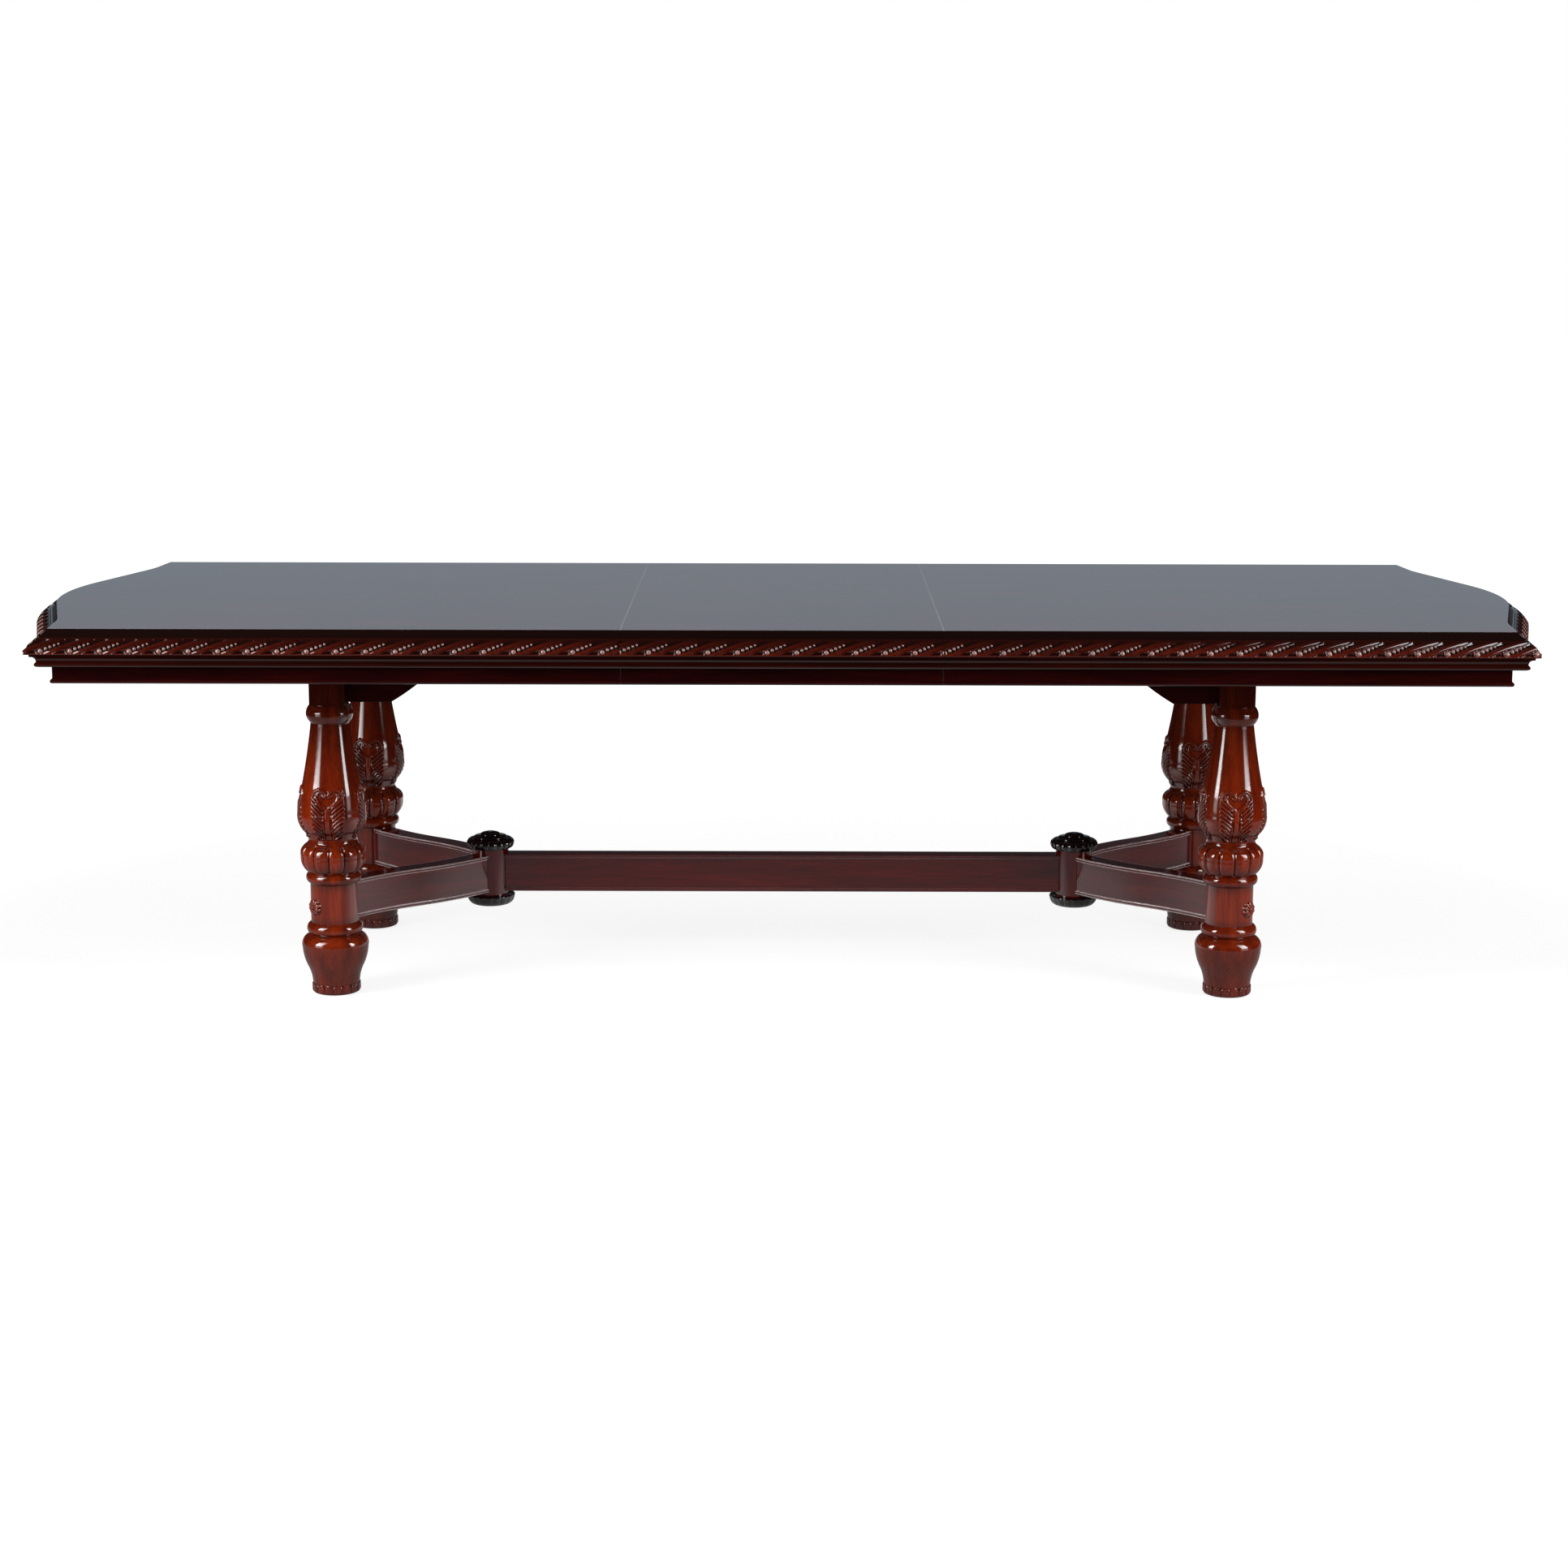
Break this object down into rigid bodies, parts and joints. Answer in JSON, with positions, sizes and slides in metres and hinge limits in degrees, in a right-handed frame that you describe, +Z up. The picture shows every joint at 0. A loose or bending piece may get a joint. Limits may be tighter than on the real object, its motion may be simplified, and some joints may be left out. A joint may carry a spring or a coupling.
{
  "type": "pedestal dining table",
  "caption": "Long carved pedestal extension dining table: bowed rope-edged top, removable leaf, and turned legs joined by curved arms, hubs and a stretcher beam.",
  "frame": {"origin": "on the floor, under the middle of the table", "axes": "+X along the table's length, +Y across it towards the back, +Z up"},
  "size_m": [3.048, 1.219, 0.775],
  "materials": {
    "lacquered_wood": "high gloss lacquer",
    "lacquered_top": "polished gloss lacquer",
    "plain_wood": "bare planed",
    "zinc_steel": "zinc plated",
    "nylon_glide": "moulded"
  },
  "bodies": {
    "base": {"leg_front_left": "lacquered_wood", "arm_front_left": "lacquered_wood", "leg_front_right": "lacquered_wood", "arm_front_right": "lacquered_wood", "leg_back_left": "lacquered_wood", "arm_back_left": "lacquered_wood", "leg_back_right": "lacquered_wood", "arm_back_right": "lacquered_wood", "foot_glides": "nylon_glide", "rosette_caps": "lacquered_wood", "arm_bolts": "zinc_steel", "beam_bolts": "zinc_steel", "leg_bolts": "zinc_steel", "centre_beam": "lacquered_wood", "hub_left": "lacquered_wood", "hub_cap_left": "lacquered_wood", "hub_foot_left": "lacquered_wood", "cross_rail_left": "plain_wood", "bearers_left": "lacquered_wood", "hub_right": "lacquered_wood", "hub_cap_right": "lacquered_wood", "hub_foot_right": "lacquered_wood", "cross_rail_right": "plain_wood", "bearers_right": "lacquered_wood", "fixed_rail_front": "plain_wood", "fixed_rail_back": "plain_wood", "pinion_bridge": "plain_wood", "pinion_axle": "zinc_steel"},
    "left_top": {"top_panel_left": "lacquered_top", "alignment_pins_left": "plain_wood", "slide_rails_left": "plain_wood", "rail_tie_left": "plain_wood", "rack_left": "zinc_steel", "panel_cleats_left": "plain_wood", "edge_moulding_front_left": "lacquered_wood", "edge_moulding_back_left": "lacquered_wood", "edge_moulding_end_left": "lacquered_wood", "apron_front_left": "lacquered_wood", "apron_back_left": "lacquered_wood", "apron_end_left": "lacquered_wood"},
    "right_top": {"top_panel_right": "lacquered_top", "alignment_pins_right": "plain_wood", "slide_rails_right": "plain_wood", "rail_tie_right": "plain_wood", "rack_right": "zinc_steel", "panel_cleats_right": "plain_wood", "edge_moulding_front_right": "lacquered_wood", "edge_moulding_back_right": "lacquered_wood", "edge_moulding_end_right": "lacquered_wood", "apron_front_right": "lacquered_wood", "apron_back_right": "lacquered_wood", "apron_end_right": "lacquered_wood"},
    "leaf": {"leaf_panel": "lacquered_top", "leaf_cleats": "plain_wood", "leaf_moulding_front": "lacquered_wood", "leaf_apron_front": "lacquered_wood", "leaf_moulding_back": "lacquered_wood", "leaf_apron_back": "lacquered_wood"},
    "pinion": {"pinion": "zinc_steel"}
  },
  "joints": [
    {"name": "left_top_slide", "type": "slide", "parent": "base", "child": "left_top", "axis": [-1, 0, 0], "range_m": [0, 0.06]},
    {"name": "right_top_slide", "type": "slide", "parent": "base", "child": "right_top", "axis": [1, 0, 0], "range_m": [0, 0.06]},
    {"name": "leaf_lift", "type": "slide", "parent": "base", "child": "leaf", "axis": [0, 0, 1], "range_m": [0, 0.25]},
    {"name": "pinion_spin", "type": "hinge", "parent": "base", "child": "pinion", "pos_m": [0, 0, 0.7077], "axis": [0, 0, 1], "range_deg": [0, 145]}
  ],
  "couplings": [
    {"joint": "right_top_slide", "follows": "left_top_slide", "ratio": 1},
    {"joint": "pinion_spin", "follows": "left_top_slide", "rad_per_m": 41.667}
  ]
}
